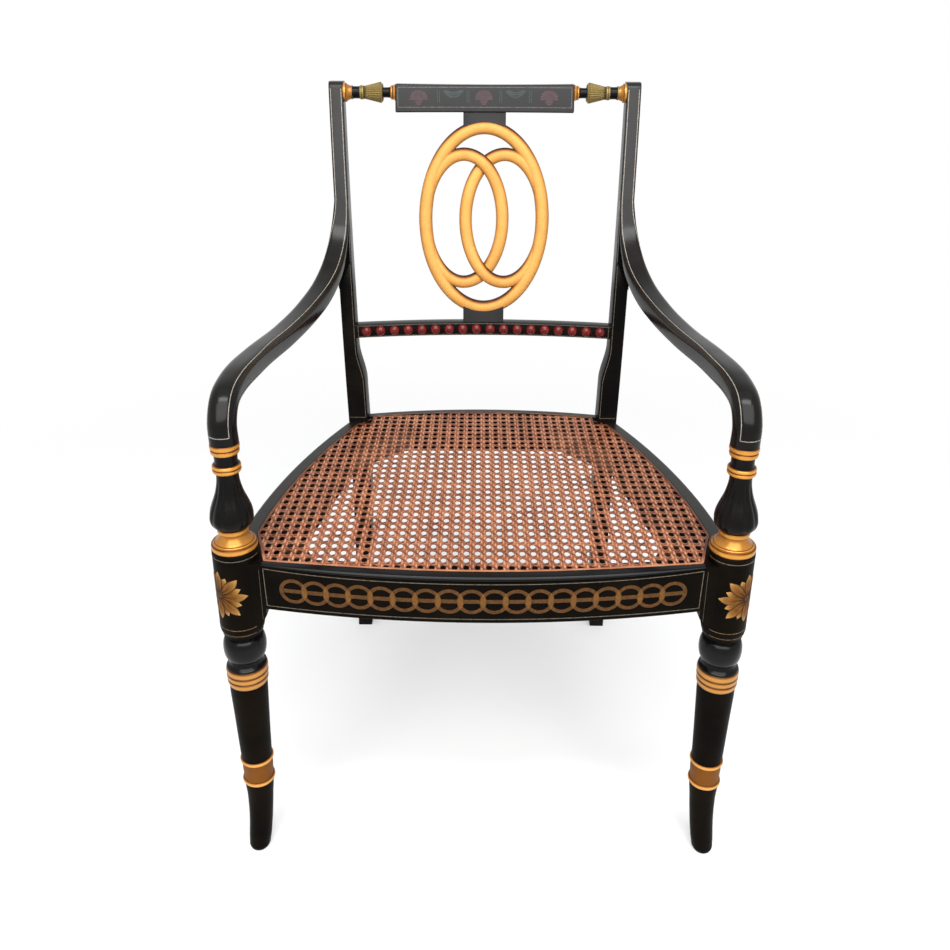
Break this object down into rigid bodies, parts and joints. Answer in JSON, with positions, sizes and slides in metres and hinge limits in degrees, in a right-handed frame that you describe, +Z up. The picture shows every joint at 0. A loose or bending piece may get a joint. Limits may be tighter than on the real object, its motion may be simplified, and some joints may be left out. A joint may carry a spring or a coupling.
{
  "type": "open armchair",
  "caption": "Open dining armchair: turned front legs, swept arms, woven cane seat and an open back whose carved splat is an oval with interlaced inner ovals.",
  "frame": {"origin": "on the floor, under the middle of the chair's outline", "axes": "+X to the right as seen from the front, +Y to the back, +Z up"},
  "size_m": [0.5846, 0.5144, 0.857],
  "materials": {
    "lacquer": "ebonised, glossy black lacquer",
    "gilt": "carved and gilded",
    "cane": "woven rattan cane, clear varnish",
    "bead": "red lacquer, gloss",
    "beech": "bare beech",
    "steel": "plain"
  },
  "bodies": {
    "root": {"front_leg_left": "lacquer", "front_leg_right": "lacquer", "arm_support_left": "lacquer", "arm_support_right": "lacquer", "arm_left": "lacquer", "arm_right": "lacquer", "arm_screw_left": "steel", "arm_screw_right": "steel", "arm_screw_plug_left": "lacquer", "arm_screw_plug_right": "lacquer", "rear_leg_left": "lacquer", "rear_leg_right": "lacquer", "side_rail_left": "lacquer", "side_rail_right": "lacquer", "corner_block_front_left": "beech", "corner_block_front_right": "beech", "corner_block_rear_left": "beech", "corner_block_rear_right": "beech", "corner_screw_front_left": "steel", "corner_screw_front_right": "steel", "corner_screw_rear_left": "steel", "corner_screw_rear_right": "steel", "crest_spindle_left": "gilt", "crest_spindle_right": "gilt", "front_rail": "lacquer", "rear_rail": "lacquer", "cane_panel": "cane", "cane_binding": "cane", "crest_tablet": "lacquer", "splat_rings": "gilt", "splat_upper_block": "lacquer", "splat_lower_block": "lacquer", "back_cross_rail": "lacquer", "bead_01": "bead", "bead_02": "bead", "bead_03": "bead", "bead_04": "bead", "bead_05": "bead", "bead_06": "bead", "bead_07": "bead", "bead_08": "bead", "bead_09": "bead", "bead_10": "bead", "bead_11": "bead", "bead_12": "bead", "bead_13": "bead", "bead_14": "bead", "bead_15": "bead", "bead_16": "bead", "bead_17": "bead", "bead_18": "bead"}
  },
  "joints": []
}
